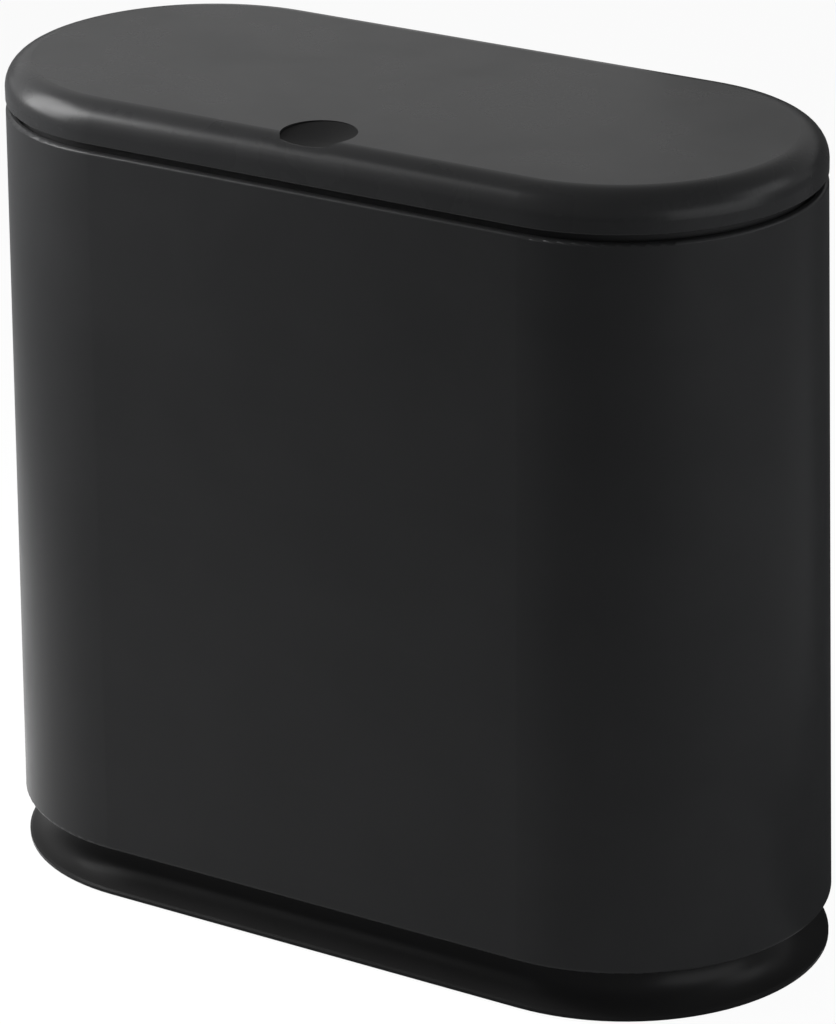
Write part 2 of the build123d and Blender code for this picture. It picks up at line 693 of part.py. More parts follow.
def latch_housing():
    """Box of the push latch, with an ear each side and the window for the cam wire."""
    back = LATCH_Y + HOUSING_HALF_Y
    front = LATCH_Y - HOUSING_HALF_Y
    housing = block(-HOUSING_HALF_X, HOUSING_HALF_X, front, back, HOUSING_BOTTOM, HOUSING_TOP)
    reach = HOUSING_HALF_X + EAR_REACH
    housing += block(
        -reach, reach, LATCH_Y - EAR_HALF_Y, LATCH_Y + EAR_HALF_Y,
        HOUSING_TOP - EAR_THICKNESS, HOUSING_TOP,
    )
    half = HOUSING_HALF_X - HOUSING_WALL
    housing -= block(
        -half, half, front + HOUSING_WALL, back - HOUSING_WALL, HOUSING_FLOOR, HOUSING_TOP
    )
    for x in (-LATCH_SCREW_X, LATCH_SCREW_X):
        hole = SCREW_RADIUS + SCREW_CLEARANCE
        housing -= post(x, LATCH_Y, HOUSING_BOTTOM, HOUSING_TOP + 1, hole)
    window_half = HEART_HALF_WIDTH + CAM_WIRE_RADIUS
    housing -= block(
        -window_half, window_half, back - 2 * HOUSING_WALL, back + 1,
        CAM_REST_Z - 2 * CAM_WIRE_RADIUS, CAM_REST_Z + 2 * CAM_WIRE_RADIUS,
    )
    pivot = Pos(0, CAM_REST_Z + CAM_PIVOT_RISE) * Circle(CAM_WIRE_RADIUS + THREAD_CLEARANCE)
    return housing - extrude(Plane.XZ.offset(-back - 1) * pivot, amount=2 * HOUSING_WALL)


def latch_cover():
    """Plate over the latch with the mouth that the striker enters."""
    reach = HOUSING_HALF_X + EAR_REACH
    top = HOUSING_TOP + LATCH_COVER_THICKNESS
    cover = block(
        -reach, reach, LATCH_Y - HOUSING_HALF_Y, LATCH_Y + HOUSING_HALF_Y, HOUSING_TOP, top
    )
    cover = fillet(cover.edges().filter_by(Axis.Z), HOUSING_WALL)
    cover -= block(
        -MOUTH_HALF_X, MOUTH_HALF_X, LATCH_Y - MOUTH_HALF_Y, LATCH_Y + MOUTH_HALF_Y,
        HOUSING_TOP - 1, top + 1,
    )
    for x in (-LATCH_SCREW_X, LATCH_SCREW_X):
        cover -= post(x, LATCH_Y, HOUSING_TOP - 1, top + 1, SCREW_RADIUS + SCREW_CLEARANCE)
    return cover


def latch_screws():
    """Two screws down through the cover and the ears into the frame's shelves."""
    seat = HOUSING_TOP + LATCH_COVER_THICKNESS
    length = LATCH_COVER_THICKNESS + EAR_THICKNESS + 2 * FLANGE_THICKNESS
    return [screw_down(x, LATCH_Y, seat, length) for x in (-LATCH_SCREW_X, LATCH_SCREW_X)]


def heart():
    """Heart-shaped island of the cam, the tops of its lobes at zero height."""
    lobe = HEART_HALF_WIDTH / 2
    return make_face(Polyline(
        (0, -HEART_NOTCH),
        (lobe, 0),
        (HEART_HALF_WIDTH, -HEART_NOTCH * 0.75),
        (0, -HEART_LENGTH),
        (-HEART_HALF_WIDTH, -HEART_NOTCH * 0.75),
        (-lobe, 0),
        close=True,
    ))


def cam_track():
    """Track round the heart, wide enough for the wire over the slider's whole travel."""
    lobe = HEART_HALF_WIDTH / 2
    hull = make_face(Polyline(
        (lobe, 0),
        (HEART_HALF_WIDTH, -HEART_NOTCH * 0.75),
        (0, -HEART_LENGTH),
        (-HEART_HALF_WIDTH, -HEART_NOTCH * 0.75),
        (-lobe, 0),
        close=True,
    ))
    return offset(hull, TRACK_WIDTH) - heart()


def latch_slider():
    """Sliding block with two catching jaws on top and the heart cam in its back."""
    half_x = HOUSING_HALF_X - HOUSING_WALL - SLIDER_CLEARANCE
    half_y = HOUSING_HALF_Y - HOUSING_WALL - SLIDER_CLEARANCE
    slider = block(
        -half_x, half_x, LATCH_Y - half_y, LATCH_Y + half_y, SLIDER_BOTTOM, CAM_BLOCK_TOP
    )
    tip = STRIKER_HEAD_HALF + STRIKER_JAW_GAP
    jaw_top = CAM_BLOCK_TOP + JAW_HEIGHT
    jaw = make_face(Polyline(
        (half_x, CAM_BLOCK_TOP - 1),
        (half_x, jaw_top),
        (tip + JAW_HOOK_HEIGHT / 2, jaw_top),
        (tip, jaw_top - JAW_HOOK_HEIGHT / 2),
        (tip, jaw_top - JAW_HOOK_HEIGHT),
        (half_x - JAW_THICKNESS, jaw_top - JAW_HOOK_HEIGHT),
        (half_x - JAW_THICKNESS, CAM_BLOCK_TOP - 1),
        close=True,
    ))
    jaw = extrude(Plane.XZ.offset(-LATCH_Y) * jaw, amount=half_y, both=True)
    slider += jaw
    slider += mirror(jaw, Plane.YZ)
    back = LATCH_Y + half_y
    track = Plane.XZ.offset(-back) * (Pos(0, HEART_Z) * cam_track())
    return slider - extrude(track, amount=TRACK_DEPTH)


def latch_spring():
    """Compression spring between the housing's floor and the slider."""
    rise = LATCH_SPRING_LENGTH - LATCH_SPRING_WIRE
    stations = coil_stations(LATCH_SPRING_RADIUS, rise / LATCH_SPRING_TURNS, LATCH_SPRING_TURNS)
    start, way = stations[0]
    wire = Plane(start, z_dir=way) * Circle(LATCH_SPRING_WIRE / 2)
    coil = sweep(wire, Wire(coil_path(stations)))
    return Pos(0, LATCH_Y, HOUSING_FLOOR + LATCH_SPRING_WIRE / 2) * (Rot(0, -90, 0) * coil)


def latch_cam_wire():
    """Bent steel wire that hangs on its pivot and follows the heart track."""
    back = LATCH_Y + HOUSING_HALF_Y
    run = back + CAM_WIRE_RADIUS + CAM_WIRE_STANDOFF
    low = CAM_REST_Z
    high = low + CAM_PIVOT_RISE
    track_floor = back - HOUSING_WALL - SLIDER_CLEARANCE - TRACK_DEPTH + CAM_TIP_GAP
    path = FilletPolyline(
        (0, track_floor, low),
        (0, run, low),
        (0, run, high),
        (0, back - HOUSING_WALL, high),
        radius=2 * CAM_WIRE_RADIUS,
    )
    return sweep(Plane((0, track_floor, low), z_dir=(0, 1, 0)) * Circle(CAM_WIRE_RADIUS), path)


def latch_clip():
    """Spring-steel band round the housing that keeps the cam wire in its track."""
    back = LATCH_Y + HOUSING_HALF_Y
    inner = back + CAM_WIRE_STANDOFF + 2 * CAM_WIRE_RADIUS + THREAD_CLEARANCE
    half = HOUSING_HALF_X
    thick = CLIP_BAND_THICKNESS
    low = CAM_REST_Z + CLIP_BAND_RISE
    high = LEDGE_Z - CLIP_SHELF_GAP
    front = LATCH_Y - HOUSING_HALF_Y / 2
    band = block(-half - thick, half + thick, front, inner + thick, low, high)
    return band - block(-half, half, front - 1, inner, low - 1, high + 1)


def export(name, shapes):
    """Write one named piece, or a group of like pieces, as a STEP file."""
    solids = []
    for shape in shapes if isinstance(shapes, list) else [shapes]:
        solids += shape.solids()
    piece = solids[0] if len(solids) == 1 else Compound(children=solids)
    piece.label = name
    export_step(piece, os.path.join("parts", name + ".step"))


def main():
    os.makedirs("parts", exist_ok=True)
    print_least_gap(
        "hinge spring", HINGE_SPRING_RADIUS, HINGE_SPRING_PITCH, HINGE_SPRING_TURNS,
        HINGE_SPRING_WIRE,
    )
    spring_pitch = (LATCH_SPRING_LENGTH - LATCH_SPRING_WIRE) / LATCH_SPRING_TURNS
    print_least_gap(
        "latch spring", LATCH_SPRING_RADIUS, spring_pitch, LATCH_SPRING_TURNS, LATCH_SPRING_WIRE
    )
    export("outer_body", outer_body())
    export("base_plinth", base_plinth())
    export("base_screws", base_screws())
    export("rubber_feet", rubber_feet())
    export("rim_frame", rim_frame())
    export("bag_ring", bag_ring())
    export("lid_shell", lid_shell())
    export("lid_liner", lid_liner())
    export("lid_screws", lid_screws())
    export("lid_striker", lid_striker())
    export("striker_screws", striker_screws())
    export("hinge_pin_left", hinge_pin(-1))
    export("hinge_pin_right", hinge_pin(1))
    export("hinge_spring_left", hinge_spring(-1))
    export("hinge_spring_right", hinge_spring(1))
    export("latch_housing", latch_housing())
    export("latch_cover", latch_cover())
    export("latch_screws", latch_screws())
    export("latch_slider", latch_slider())
    export("latch_spring", latch_spring())
    export("latch_cam_wire", latch_cam_wire())
    export("latch_clip", latch_clip())


main()
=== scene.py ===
import json
from math import cos, radians, sin

import bpy
from mathutils import Matrix, Vector


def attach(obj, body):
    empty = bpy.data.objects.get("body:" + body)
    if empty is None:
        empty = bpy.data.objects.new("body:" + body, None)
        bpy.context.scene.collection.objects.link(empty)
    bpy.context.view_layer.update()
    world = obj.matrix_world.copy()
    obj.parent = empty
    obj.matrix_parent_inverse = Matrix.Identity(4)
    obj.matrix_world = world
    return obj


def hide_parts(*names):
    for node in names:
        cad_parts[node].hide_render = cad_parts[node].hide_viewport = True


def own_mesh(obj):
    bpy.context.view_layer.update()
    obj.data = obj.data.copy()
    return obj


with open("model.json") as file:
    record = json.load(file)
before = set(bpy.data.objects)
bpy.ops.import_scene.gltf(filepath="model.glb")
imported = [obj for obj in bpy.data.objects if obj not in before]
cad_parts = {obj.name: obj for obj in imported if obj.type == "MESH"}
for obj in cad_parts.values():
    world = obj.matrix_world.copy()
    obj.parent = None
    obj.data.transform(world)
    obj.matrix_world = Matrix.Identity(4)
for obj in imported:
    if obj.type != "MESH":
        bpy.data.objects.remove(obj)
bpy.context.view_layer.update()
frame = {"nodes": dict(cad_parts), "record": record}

nodes = frame["nodes"]
everything = bpy.context.scene.collection

# Lengths are in metres and angles in degrees, apart from the lens, which is in millimetres

# Camera: the fitted place from which the bin was photographed
VIEW_TURN = 33.013
VIEW_RISE = 22.067
VIEW_ROLL = -0.978
VIEW_DISTANCE = 1.970906
VIEW_TARGET = Vector((0, 0, 0.146))
VIEW_SHIFT = (-0.0014116, -0.0044704)
VIEW_NEAR = 0.05
VIEW_FAR = 60
LENS = 184.615
LONG_SIDE = 36

# Light: the dim air, and the soft boxes with the point that they aim at
WHITE = (1.0, 1.0, 1.0)
COOL_WHITE = (0.98, 0.99, 1.0)
AIR_TINT = (0.95, 0.97, 1.0)
AIR_LIGHT = 0.22
LIGHT_AIM = Vector((0, 0, 0.17))
# Each box: name, turn, rise, distance, width, height, watts, tint
SOFT_BOXES = (
    ("key_soft_box", -66, 32, 0.5, 0.24, 0.26, 5.0, WHITE),
    ("second_soft_box", -57, 37, 0.5, 0.14, 0.14, 1.3, WHITE),
    ("far_soft_box", -46, 42, 1.1, 0.3, 0.5, 4.4, WHITE),
    ("right_soft_box", 82, 11, 0.9, 0.8, 0.4, 5.2, COOL_WHITE),
    ("rear_soft_box", 114, 28, 0.9, 0.4, 0.3, 2.0, COOL_WHITE),
    ("under_soft_box", 0, -89, 1.0, 0.8, 0.8, 10.0, WHITE),
)

# Floor: how white it is where it is seen, and the patch that the bin covers
FLOOR_SIZE = 24
FLOOR_ROOM = 0.0001
FLOOR_PAINT = (0.8, 0.8, 0.8)
FLOOR_WHITE_SHARE = 0.94
FLOOR_GLOSS_SHARE = 0.06
COVERED_HALF = (0.12, 0.055)
COVERED_FADE = 0.001

# Dark cards: one upright and one flat behind the right end, and a raised one behind the left end
CARD_FELT = (0.06, 0.06, 0.06)
# Each card: name, width, height, place, tip, turn
CARDS = (
    ("right_card", 0.34, 0.37, (0.12, 0.29, 0.185), 90, 8),
    ("right_mat", 0.34, 0.27, (0.14, 0.155, 0.0004), 0, 8),
    ("left_card", 0.32, 0.16, (-0.52, 0.32, 0.305), 90, 42),
)

# The latch spring: how near its points must be to be joined, and the angle up to which its faces
# are smoothed
WELD_REACH = 0.000001
SMOOTH_ANGLE = 40

# The lid's finger dish: its middle and reach, and the ball that its bowl is cut by
LID_TOP = 0.3163
DISH_DEPTH = 0.0024
DISH_Y = -0.0575
DISH_FORWARD = 0.0025
DISH_REACH = 0.014
DISH_EDGE = 0.0002
BOWL_RADIUS = 0.065002
BOWL_MIDDLE = LID_TOP - DISH_DEPTH + BOWL_RADIUS

# The dish's finish: the slope that its shading adds at the middle, half the rate at which that
# slope grows to the front, its tone, which is painted shade darker than the lid, and its gloss
HOLLOW_SLOPE = 0.36
HOLLOW_TURN = 5.0
DISH_PAINTED_SHADE_TONE = (0.0045, 0.0045, 0.0046)
HOLLOW_ROUGHNESS = 0.3

# Effects: the spans of noise that show as marks, and the share of each kind
CLOUD_SPAN = (0.3, 0.7)
PIT_SHARE = 0.35
SCRATCH_SPAN = (0.735, 0.78)
# Each set of scratches: its turn in radians and how finely it is drawn out
SCRATCH_SETS = ((0.35, 900.0), (-0.9, 700.0), (1.9, 800.0))
SCRATCH_LENGTH_SCALE = 9.0
WIPED_SPAN = (0.42, 0.76)
UPWARD_SPAN = (0.6, 1.0)
SPECK_SPAN = (0.62, 0.74)
DUST_FILM = 0.35

# Plastic and steel: how the effects change gloss and tone
PLASTIC_IOR = 1.49
PLASTIC_CLOUD_SIZE = 30.0
GLOSS_PLAY = 0.03
SCRATCH_ROUGHER = 0.1
SCRATCH_PALER = 1.35
DUST_ROUGHNESS = 0.9
DUST_AND_PAINTED_LIGHT_TONE = (0.05, 0.049, 0.047)
STEEL_CLOUD_SIZE = 400.0
STEEL_LINE_SIZE = 3500.0
STEEL_SMOOTHER = 0.08
STEEL_ROUGHER = 0.12


# Node helpers


def feed(tree, value, target):
    """Link a socket to another one, or set it to a fixed value."""
    if isinstance(value, bpy.types.NodeSocket):
        tree.links.new(value, target)
    else:
        target.default_value = value


def reckon(tree, operation, *values):
    """One step of arithmetic on sockets or numbers."""
    made = tree.nodes.new("ShaderNodeMath")
    made.operation = operation
    for value, target in zip(values, made.inputs):
        feed(tree, value, target)
    return made.outputs[0]


def ramp(tree, value, low, high, out_low=0.0, out_high=1.0):
    """Carry a value from one span to another and hold it there."""
    made = tree.nodes.new("ShaderNodeMapRange")
    made.inputs["From Min"].default_value = low
    made.inputs["From Max"].default_value = high
    made.inputs["To Min"].default_value = out_low
    made.inputs["To Max"].default_value = out_high
    tree.links.new(value, made.inputs["Value"])
    return made.outputs["Result"]


def object_place(tree):
    """Place on the piece, in Object coordinates."""
    return tree.nodes.new("ShaderNodeTexCoord").outputs["Object"]


def split(tree, vector):
    """The X, Y and Z of a vector."""
    made = tree.nodes.new("ShaderNodeSeparateXYZ")
    tree.links.new(vector, made.inputs[0])
    return made.outputs


def distance_to(tree, place, point):
    """How far a place is from a fixed point."""
    made = tree.nodes.new("ShaderNodeVectorMath")
    made.operation = "DISTANCE"
    tree.links.new(place, made.inputs[0])
    made.inputs[1].default_value = point
    return made.outputs["Value"]


def noise(tree, place, size, detail, roughness, distortion=0.0):
    """Noise on a place."""
    made = tree.nodes.new("ShaderNodeTexNoise")
    tree.links.new(place, made.inputs["Vector"])
    feed(tree, size, made.inputs["Scale"])
    made.inputs["Detail"].default_value = detail
    made.inputs["Roughness"].default_value = roughness
    made.inputs["Distortion"].default_value = distortion
    return made.outputs["Fac"]


def blend(tree, share, first, second, kind="FLOAT"):
    """Mix of two values by a share."""
    made = tree.nodes.new("ShaderNodeMix")
    made.data_type = kind
    feed(tree, share, made.inputs["Factor"])
    feed(tree, first, made.inputs["A"])
    feed(tree, second, made.inputs["B"])
    return made.outputs["Result"]


def blend_colours(tree, share, first, second):
    """Mix of two colours by a share."""
    first, second = (
        (*colour, 1) if isinstance(colour, tuple) else colour for colour in (first, second)
    )
    return blend(tree, share, first, second, "RGBA")


def bump(tree, height, strength, distance):
    """Bump of a height."""
    made = tree.nodes.new("ShaderNodeBump")
    feed(tree, strength, made.inputs["Strength"])
    made.inputs["Distance"].default_value = distance
    tree.links.new(height, made.inputs["Height"])
    return made


def plain_shader(tree, kind, colour, strength=None):
    """Shader of one colour, with a strength if it gives light."""
    made = tree.nodes.new(kind)
    made.inputs["Color"].default_value = (*colour, 1)
    if strength is not None:
        made.inputs["Strength"].default_value = strength
    return made.outputs[0]


def mix_shaders(tree, share, first, second):
    """Mix of two shaders by a share."""
    made = tree.nodes.new("ShaderNodeMixShader")
    tree.links.new(share, made.inputs["Fac"])
    tree.links.new(first, made.inputs[1])
    tree.links.new(second, made.inputs[2])
    return made.outputs[0]


def put_out(tree, shader, kind="ShaderNodeOutputMaterial"):
    """Make a shader the surface of its material or world."""
    out = tree.nodes.new(kind)
    tree.links.new(shader, out.inputs["Surface"])


# Stage


def direction(turn, rise):
    """Direction at a turn from the front, to the right, and a rise above the floor."""
    turn, rise = radians(turn), radians(rise)
    return Vector((sin(turn) * cos(rise), -cos(turn) * cos(rise), sin(rise)))


def photograph_camera():
    """Long lens on the fitted sight line, with a slight roll."""
    back = direction(VIEW_TURN, VIEW_RISE)
    turn = radians(VIEW_TURN)
    level = Vector((cos(turn), sin(turn), 0))
    up = back.cross(level)
    roll = radians(VIEW_ROLL)
    right = level * cos(roll) + up * sin(roll)
    top = up * cos(roll) - level * sin(roll)
    place = VIEW_TARGET - right * VIEW_SHIFT[0] - top * VIEW_SHIFT[1] + back * VIEW_DISTANCE
    lens = bpy.data.cameras.new("photograph_lens")
    lens.sensor_fit = "VERTICAL"
    lens.sensor_height = LONG_SIDE
    lens.lens = LENS
    lens.clip_start = VIEW_NEAR
    lens.clip_end = VIEW_FAR
    camera = bpy.data.objects.new("photograph_camera", lens)
    everything.objects.link(camera)
    camera.matrix_world = Matrix((
        (right.x, top.x, back.x, place.x),
        (right.y, top.y, back.y, place.y),
        (right.z, top.z, back.z, place.z),
        (0, 0, 0, 1),
    ))
    bpy.context.scene.camera = camera


def white_where_seen(tree, gloss_share):
    """One for a ray from the camera or through clear plastic, and a share for one from a gloss."""
    path = tree.nodes.new("ShaderNodeLightPath")
    gloss = reckon(tree, "MULTIPLY", path.outputs["Is Glossy Ray"], gloss_share)
    clear = reckon(tree, "MAXIMUM", path.outputs["Is Transmission Ray"], gloss)
    return reckon(tree, "MAXIMUM", path.outputs["Is Camera Ray"], clear)


def studio_air():
    """White where it is seen, and a dim even grey as light."""
    world = bpy.data.worlds.new("studio_air")
    bpy.context.scene.world = world
    world.use_nodes = True
    tree = world.node_tree
    tree.nodes.clear()
    dim = plain_shader(tree, "ShaderNodeBackground", AIR_TINT, AIR_LIGHT)
    white = plain_shader(tree, "ShaderNodeBackground", WHITE, 1.0)
    seen = white_where_seen(tree, gloss_share=1.0)
    put_out(tree, mix_shaders(tree, seen, dim, white), "ShaderNodeOutputWorld")


def flat_piece(name, coat, size, place):
    """New square plane with a coat of its own, and the coat's tree, which is still empty."""
    bpy.ops.object.select_all(action="DESELECT")
    bpy.ops.mesh.primitive_plane_add(size=size, location=place)
    piece = bpy.context.object
    piece.name = name
    material = bpy.data.materials.new(name + "_" + coat)
    material.use_nodes = True
    material.node_tree.nodes.clear()
    piece.data.materials.append(material)
    return piece, material.node_tree


def covered_patch(tree):
    """One where the bin covers the floor."""
    folded = tree.nodes.new("ShaderNodeVectorMath")
    folded.operation = "ABSOLUTE"
    tree.links.new(object_place(tree), folded.inputs[0])
    parts = split(tree, folded.outputs[0])
    along, across = (
        ramp(tree, parts[axis], half, half + COVERED_FADE, 1.0, 0.0)
        for axis, half in zip("XY", COVERED_HALF)
    )
    return reckon(tree, "MULTIPLY", along, across)


def pale_floor():
    """Wide pale floor, white where it is seen, clear from below and where the bin covers it."""
    floor, tree = flat_piece("pale_floor", "paint", FLOOR_SIZE, (0, 0, -FLOOR_ROOM))
    paint = plain_shader(tree, "ShaderNodeBsdfDiffuse", FLOOR_PAINT)
    white = plain_shader(tree, "ShaderNodeEmission", WHITE, 1.0)
    seen = white_where_seen(tree, FLOOR_GLOSS_SHARE)
    share = reckon(tree, "MULTIPLY", seen, FLOOR_WHITE_SHARE)
    lit = mix_shaders(tree, share, paint, white)
    clear = tree.nodes.new("ShaderNodeBsdfTransparent").outputs[0]
    below = tree.nodes.new("ShaderNodeNewGeometry").outputs["Backfacing"]
    hidden = reckon(tree, "MAXIMUM", below, covered_patch(tree))
    put_out(tree, mix_shaders(tree, hidden, lit, clear))


def dark_card(name, width, height, place, tip, turn):
    """Dark card that only gloss sees: it keeps an end of the bin dark at its outline."""
    card, tree = flat_piece(name, "felt", 1, place)
    card.scale = (width, height, 1)
    card.rotation_euler = (radians(tip), 0, radians(turn))
    card.visible_camera = False
    card.visible_diffuse = False
    card.visible_shadow = False
    put_out(tree, plain_shader(tree, "ShaderNodeBsdfDiffuse", CARD_FELT))


def soft_box(name, turn, rise, distance, width, height, watts, tint):
    """Soft box at a turn from the front and a rise above the floor, aimed at the bin's middle."""
    light = bpy.data.lights.new(name, "AREA")
    light.shape = "RECTANGLE"
    light.size = width
    light.size_y = height
    light.energy = watts
    light.color = tint
    lamp = bpy.data.objects.new(name, light)
    everything.objects.link(lamp)
    back = direction(turn, rise)
    lamp.location = LIGHT_AIM + back * distance
    lamp.rotation_euler = (-back).to_track_quat("-Z", "Y").to_euler()
    lamp.visible_camera = False


# Effects


def effect_group(name, inputs, outputs):
    """Effect group with named sockets: its tree, and the sockets to read from and to feed."""
    tree = bpy.data.node_groups.new(name, "ShaderNodeTree")
    kind = "NodeSocketFloat"
    for label, value in inputs.items():
        made = tree.interface.new_socket(name=label, in_out="INPUT", socket_type=kind)
        made.default_value = value
    for label in outputs:
        tree.interface.new_socket(name=label, in_out="OUTPUT", socket_type=kind)
    given = tree.nodes.new("NodeGroupInput").outputs
    wanted = tree.nodes.new("NodeGroupOutput").inputs
    return tree, given, wanted


def moulded_grain_group():
    """Spark-eroded grain: a height of small pits and grains, and slow clouds of gloss."""
    tree, given, wanted = effect_group(
        "moulded_grain", {"Grain Size": 2600.0, "Cloud Size": 28.0}, ("Height", "Clouds")
    )
    place = object_place(tree)
    grains = noise(tree, place, given["Grain Size"], detail=3.0, roughness=0.6)
    pits = tree.nodes.new("ShaderNodeTexVoronoi")
    tree.links.new(place, pits.inputs["Vector"])
    tree.links.new(given["Grain Size"], pits.inputs["Scale"])
    height = blend(tree, PIT_SHARE, grains, pits.outputs["Distance"])
    tree.links.new(height, wanted["Height"])
    clouds = noise(tree, place, given["Cloud Size"], detail=4.0, roughness=0.55, distortion=0.4)
    tree.links.new(clouds, wanted["Clouds"])
    return tree


def drawn_scratches(tree, place, turn, stretch):
    """One set of fine lines: noise that is drawn out one way."""
    drawn = tree.nodes.new("ShaderNodeMapping")
    drawn.inputs["Rotation"].default_value = (turn * 0.4, turn * 0.6, turn)
    drawn.inputs["Scale"].default_value = (SCRATCH_LENGTH_SCALE, stretch, stretch * 0.4)
    tree.links.new(place, drawn.inputs["Vector"])
    streaks = noise(
        tree, drawn.outputs["Vector"], size=1.0, detail=1.0, roughness=0.4, distortion=0.3
    )
    return ramp(tree, streaks, *SCRATCH_SPAN)


def light_wear_group():
    """Marks of use: faint crossing scratches, wiped patches, dust that is partly painted light."""
    tree, given, wanted = effect_group(
        "light_wear", {"Scratch Amount": 0.5, "Dust Amount": 0.3}, ("Scratches", "Wiped", "Dust")
    )
    coordinates = tree.nodes.new("ShaderNodeTexCoord").outputs
    place = coordinates["Object"]
    first, second, third = (drawn_scratches(tree, place, *each) for each in SCRATCH_SETS)
    crossing = reckon(tree, "MAXIMUM", reckon(tree, "MAXIMUM", first, second), third)
    scratches = reckon(tree, "MULTIPLY", crossing, given["Scratch Amount"])
    tree.links.new(scratches, wanted["Scratches"])
    patches = noise(tree, place, size=13.0, detail=3.0, roughness=0.5, distortion=1.4)
    tree.links.new(ramp(tree, patches, *WIPED_SPAN), wanted["Wiped"])
    # Dust settles on upward faces; where heavy, as on the plinth, it is partly painted light
    upward = ramp(tree, split(tree, coordinates["Normal"])["Z"], *UPWARD_SPAN)
    fine = noise(tree, place, size=1900.0, detail=2.0, roughness=0.7)
    film = ramp(tree, ramp(tree, fine, *SPECK_SPAN), 0.0, 1.0, DUST_FILM, 1.0)
    settled = reckon(tree, "MULTIPLY", upward, film)
    dust = reckon(tree, "MULTIPLY", settled, given["Dust Amount"])
    tree.links.new(dust, wanted["Dust"])
    return tree


def placed(tree, group, **values):
    """An effect group in a material with its own values."""
    made = tree.nodes.new("ShaderNodeGroup")
    made.node_tree = group
    for name, value in values.items():
        made.inputs[name.replace("_", " ").title()].default_value = value
    return made.outputs


GRAIN = moulded_grain_group()
WEAR = light_wear_group()


# Finishes


def new_finish(name):
    """New material, with its tree and the sockets of its shader."""
    material = bpy.data.materials.new(name)
    material.use_nodes = True
    tree = material.node_tree
    return material, tree, tree.nodes["Principled BSDF"].inputs


def plastic(name, dark, light, roughness, level, grain_size, grain_depth, scratches, dust):
    """Satin moulded plastic: grain, clouds of gloss, wiped patches, faint scratches and dust."""
    material, tree, shader = new_finish(name)
    shader["IOR"].default_value = PLASTIC_IOR
    shader["Specular IOR Level"].default_value = level
    grain = placed(tree, GRAIN, grain_size=grain_size, cloud_size=PLASTIC_CLOUD_SIZE)
    wear = placed(tree, WEAR, scratch_amount=scratches, dust_amount=dust)
    grained = bump(tree, grain["Height"], strength=0.5, distance=grain_depth)
    grained.name = "grain_bump"
    tree.links.new(grained.outputs["Normal"], shader["Normal"])
    smooth = roughness - GLOSS_PLAY
    gloss = ramp(tree, grain["Clouds"], *CLOUD_SPAN, smooth, roughness + GLOSS_PLAY)
    gloss = blend(tree, wear["Wiped"], gloss, smooth)
    gloss = blend(tree, wear["Scratches"], gloss, roughness + SCRATCH_ROUGHER)
    gloss = blend(tree, wear["Dust"], gloss, DUST_ROUGHNESS)
    tree.links.new(gloss, shader["Roughness"])
    scratched = tuple(part * SCRATCH_PALER for part in light)
    tone = blend_colours(tree, grain["Clouds"], dark, light)
    tone = blend_colours(tree, wear["Scratches"], tone, scratched)
    # Paler where dust lies; on the plinth this is partly painted light on its upward faces
    tone = blend_colours(tree, wear["Dust"], tone, DUST_AND_PAINTED_LIGHT_TONE)
    tree.links.new(tone, shader["Base Color"])
    return material


def steel(name, dark, light, roughness):
    """Drawn or plated steel with a fine grain and a soft haze."""
    material, tree, shader = new_finish(name)
    shader["Metallic"].default_value = 1.0
    grain = placed(tree, GRAIN, grain_size=STEEL_LINE_SIZE, cloud_size=STEEL_CLOUD_SIZE)
    span = (roughness - STEEL_SMOOTHER, roughness + STEEL_ROUGHER)
    tree.links.new(ramp(tree, grain["Clouds"], *CLOUD_SPAN, *span), shader["Roughness"])
    tree.links.new(blend_colours(tree, grain["Clouds"], dark, light), shader["Base Color"])
    lines = bump(tree, grain["Height"], strength=0.3, distance=0.00002)
    tree.links.new(lines.outputs["Normal"], shader["Normal"])
    return material


def dish_hollow(tree):
    """The dish's hollow: a share that is one on its bowl, and the height that its shading has."""
    place = object_place(tree)
    from_ball = distance_to(tree, place, (0.0, DISH_Y - DISH_FORWARD, BOWL_MIDDLE))
    on_bowl = reckon(tree, "COMPARE", from_ball, BOWL_RADIUS, DISH_EDGE)
    parts = split(tree, place)
    flat = tree.nodes.new("ShaderNodeCombineXYZ")
    tree.links.new(parts["X"], flat.inputs["X"])
    tree.links.new(parts["Y"], flat.inputs["Y"])
    from_dish = distance_to(tree, flat.outputs[0], (0.0, DISH_Y, 0.0))
    within = ramp(tree, from_dish, DISH_REACH, DISH_REACH + DISH_EDGE, 1.0, 0.0)
    inside = reckon(tree, "MULTIPLY", on_bowl, within)
    from_middle = reckon(tree, "SUBTRACT", parts["Y"], DISH_Y)
    squared = reckon(tree, "MULTIPLY", from_middle, from_middle)
    fall = reckon(tree, "MULTIPLY", from_middle, HOLLOW_SLOPE)
    turn = reckon(tree, "MULTIPLY", squared, -HOLLOW_TURN)
    return inside, reckon(tree, "ADD", fall, turn)


def finish_dish_with_painted_shade(material):
    """The lid's finger dish: painted shade darkens it, and its shading falls more to the front."""
    tree = material.node_tree
    shader = tree.nodes["Principled BSDF"].inputs
    inside, height = dish_hollow(tree)
    hollow = bump(tree, height, strength=inside, distance=1.0)
    tree.links.new(hollow.outputs["Normal"], tree.nodes["grain_bump"].inputs["Normal"])
    gloss = shader["Roughness"].links[0].from_socket
    tree.links.new(blend(tree, inside, gloss, HOLLOW_ROUGHNESS), shader["Roughness"])
    tone = shader["Base Color"].links[0].from_socket
    # The bowl's tone is painted shade: darker where the recess lies in shadow
    tree.links.new(blend_colours(tree, inside, tone, DISH_PAINTED_SHADE_TONE), shader["Base Color"])


def finish_node(name, material):
    """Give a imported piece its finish."""
    mesh = nodes[name].data
    mesh.materials.clear()
    mesh.materials.append(material)


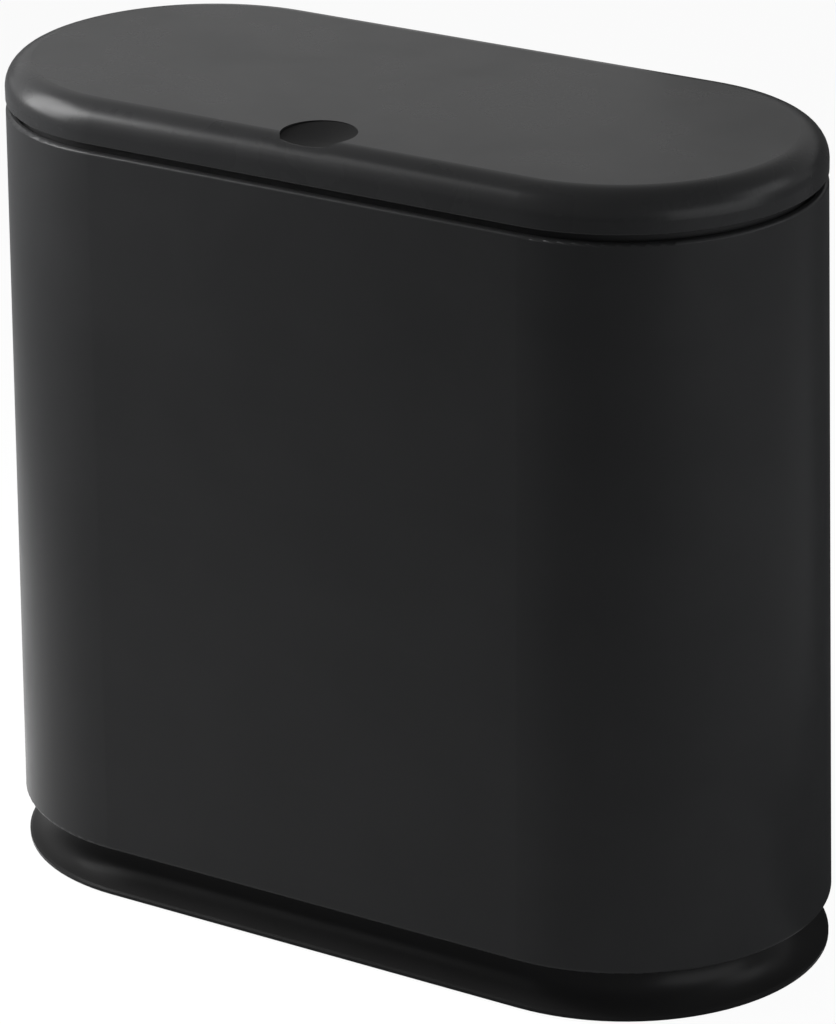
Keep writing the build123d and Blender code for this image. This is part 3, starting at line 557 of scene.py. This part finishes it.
def pressed_spring(material):
    """Latch spring: the solid's own form, in one mesh."""
    wire = bpy.data.objects.new("latch_spring_wire", nodes["latch_spring"].data.copy())
    everything.objects.link(wire)
    bpy.ops.object.select_all(action="DESELECT")
    wire.select_set(True)
    bpy.context.view_layer.objects.active = wire
    bpy.ops.object.mode_set(mode="EDIT")
    bpy.ops.mesh.select_all(action="SELECT")
    bpy.ops.mesh.remove_doubles(threshold=WELD_REACH)
    bpy.ops.object.mode_set(mode="OBJECT")
    bpy.ops.object.shade_smooth_by_angle(angle=radians(SMOOTH_ANGLE))
    wire.data.materials.clear()
    wire.data.materials.append(material)
    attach(wire, "bin")
    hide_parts("latch_spring")
    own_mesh(wire)


FINISHES = {
    "body_plastic": plastic(
        "charcoal_body_plastic", (0.0095, 0.0096, 0.0099), (0.012, 0.0121, 0.0124),
        roughness=0.33, level=0.041, grain_size=2600.0, grain_depth=0.00003,
        scratches=0.08, dust=0.05,
    ),
    "lid_plastic": plastic(
        "charcoal_lid_plastic", (0.0098, 0.0099, 0.0102), (0.0124, 0.0125, 0.0128),
        roughness=0.28, level=0.051, grain_size=3000.0, grain_depth=0.000025,
        scratches=0.1, dust=0.06,
    ),
    # The plinth's heavy dust: its pale film by the lip is partly painted light from above
    "plinth_plastic": plastic(
        "black_plinth_plastic", (0.0045, 0.0045, 0.0046), (0.006, 0.006, 0.0062),
        roughness=0.3, level=0.04, grain_size=2600.0, grain_depth=0.00003,
        scratches=0.12, dust=0.2,
    ),
    "inner_plastic": plastic(
        "black_inner_plastic", (0.0085, 0.0085, 0.0087), (0.0115, 0.0115, 0.0118),
        roughness=0.5, level=0.06, grain_size=1800.0, grain_depth=0.00005,
        scratches=0.2, dust=0.1,
    ),
    "latch_plastic": plastic(
        "grey_latch_plastic", (0.045, 0.045, 0.048), (0.06, 0.06, 0.064),
        roughness=0.36, level=0.45, grain_size=1500.0, grain_depth=0.00002,
        scratches=0.2, dust=0.05,
    ),
    "foot_rubber": plastic(
        "black_foot_rubber", (0.016, 0.016, 0.016), (0.024, 0.024, 0.024),
        roughness=0.8, level=0.2, grain_size=1200.0, grain_depth=0.0001,
        scratches=0.5, dust=0.3,
    ),
    "zinc_steel": steel(
        "zinc_plated_steel", (0.5, 0.5, 0.49), (0.64, 0.64, 0.62), roughness=0.3
    ),
    "spring_steel": steel(
        "bright_spring_steel", (0.4, 0.4, 0.41), (0.52, 0.52, 0.53), roughness=0.25
    ),
}
finish_dish_with_painted_shade(FINISHES["lid_plastic"])
for piece in frame["record"]["subparts"]:
    finish_node(piece["node"], FINISHES[piece["material_slot"]])
pressed_spring(FINISHES["spring_steel"])

photograph_camera()
studio_air()
pale_floor()
for card in CARDS:
    dark_card(*card)
for box in SOFT_BOXES:
    soft_box(*box)

bpy.context.scene.view_settings.view_transform = "Standard"
